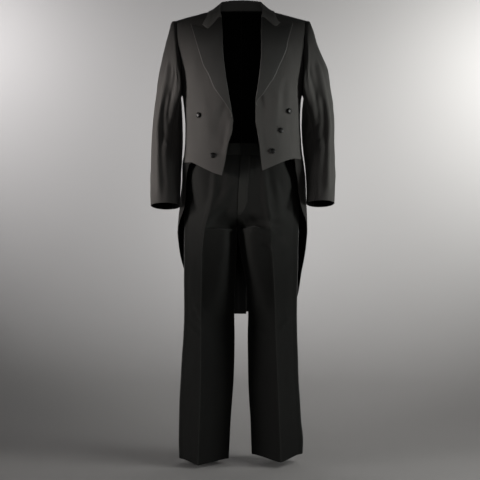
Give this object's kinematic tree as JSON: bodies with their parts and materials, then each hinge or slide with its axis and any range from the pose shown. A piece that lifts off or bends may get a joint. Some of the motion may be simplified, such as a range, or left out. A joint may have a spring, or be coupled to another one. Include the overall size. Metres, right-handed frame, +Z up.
{
  "type": "evening tailcoat and trousers",
  "caption": "Black evening tailcoat with peak silk lapels, cutaway front and long tails, over matching high-rise trousers, worn form left hollow.",
  "frame": {"origin": "centre of the coat's neck base, level with the back neck seam, where the wearer's shoulders and neck hold it", "axes": "+Z up, +X towards the wearer's left, the front of the garment faces -Y"},
  "size_m": [0.6255, 0.2933, 1.5955],
  "materials": {
    "coat_wool": "fine matt worsted wool, near black",
    "lapel_silk": "smooth silk facing, darker than the wool",
    "button_satin": "black satin over a domed button",
    "trouser_wool": "fine matt worsted wool with pressed creases, near black",
    "braid_silk": "ribbed silk braid"
  },
  "bodies": {
    "root": {"coat_front_right": "coat_wool", "coat_front_left": "coat_wool", "coat_side_right": "coat_wool", "coat_side_left": "coat_wool", "coat_back_right": "coat_wool", "coat_back_left": "coat_wool", "coat_skirt_right": "coat_wool", "coat_skirt_left": "coat_wool", "coat_collar": "coat_wool", "sleeve_top_right": "coat_wool", "sleeve_top_left": "coat_wool", "sleeve_under_right": "coat_wool", "sleeve_under_left": "coat_wool", "lapel_right": "lapel_silk", "lapel_left": "lapel_silk", "front_button_right_top": "button_satin", "front_button_right_low": "button_satin", "front_button_left_top": "button_satin", "front_button_left_mid": "button_satin", "front_button_left_low": "button_satin", "back_button_right": "button_satin", "back_button_left": "button_satin", "trouser_front_right": "trouser_wool", "trouser_front_left": "trouser_wool", "trouser_back_right": "trouser_wool", "trouser_back_left": "trouser_wool", "waistband_right": "trouser_wool", "waistband_left": "trouser_wool", "trouser_fly": "trouser_wool", "braid_right": "braid_silk", "braid_left": "braid_silk"}
  },
  "joints": []
}
